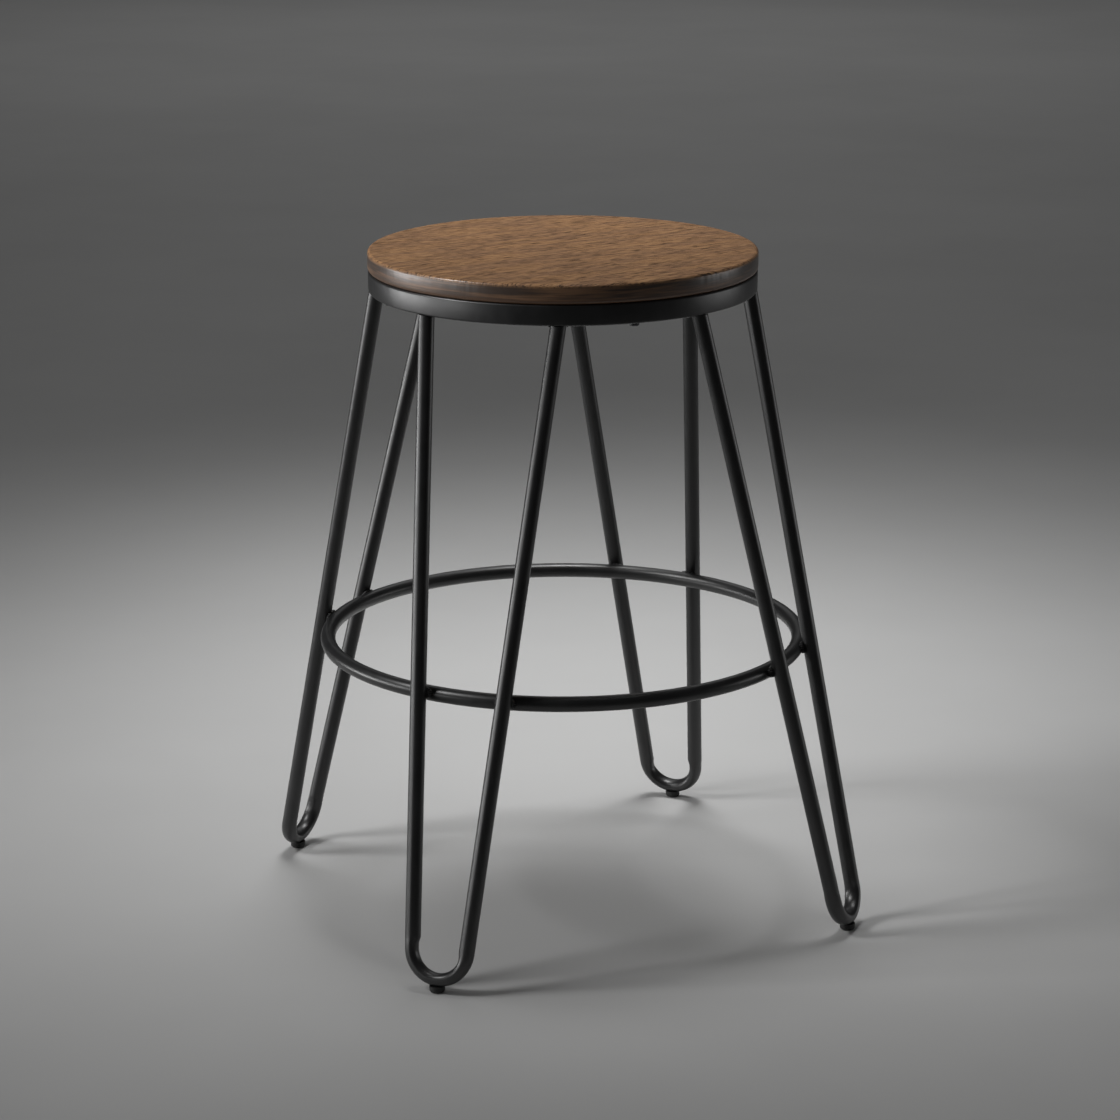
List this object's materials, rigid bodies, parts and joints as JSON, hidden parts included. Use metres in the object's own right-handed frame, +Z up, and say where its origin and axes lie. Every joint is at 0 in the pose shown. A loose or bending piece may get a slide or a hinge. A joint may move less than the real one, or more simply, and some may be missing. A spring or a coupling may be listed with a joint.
{
  "type": "bar stool",
  "caption": "Backless stool with a round wooden seat, a black steel seat band, bent hairpin legs and a round footrest ring.",
  "frame": {"origin": "on the floor, under the centre of the seat", "axes": "+Z up; -Y is the front; the four legs point along +X, +Y, -X and -Y"},
  "size_m": [0.625, 0.625, 0.66],
  "materials": {
    "stained_wood": "dark brown stain under satin lacquer",
    "black_steel": "satin black powder coat",
    "black_rubber": "matt moulded rubber",
    "zinc_steel": "bright zinc plate"
  },
  "bodies": {
    "root": {"seat_board": "stained_wood", "seat_band": "black_steel", "leg_right": "black_steel", "leg_back": "black_steel", "leg_left": "black_steel", "leg_front": "black_steel", "foot_ring": "black_steel", "foot_pad_right": "black_rubber", "foot_pad_back": "black_rubber", "foot_pad_left": "black_rubber", "foot_pad_front": "black_rubber", "seat_screw_back_right": "zinc_steel", "seat_screw_back_left": "zinc_steel", "seat_screw_front_left": "zinc_steel", "seat_screw_front_right": "zinc_steel", "seat_washer_back_right": "zinc_steel", "seat_washer_back_left": "zinc_steel", "seat_washer_front_left": "zinc_steel", "seat_washer_front_right": "zinc_steel", "top_weld_right_a": "black_steel", "top_weld_right_b": "black_steel", "top_weld_back_a": "black_steel", "top_weld_back_b": "black_steel", "top_weld_left_a": "black_steel", "top_weld_left_b": "black_steel", "top_weld_front_a": "black_steel", "top_weld_front_b": "black_steel", "ring_weld_right_a": "black_steel", "ring_weld_right_b": "black_steel", "ring_weld_back_a": "black_steel", "ring_weld_back_b": "black_steel", "ring_weld_left_a": "black_steel", "ring_weld_left_b": "black_steel", "ring_weld_front_a": "black_steel", "ring_weld_front_b": "black_steel"}
  },
  "joints": []
}
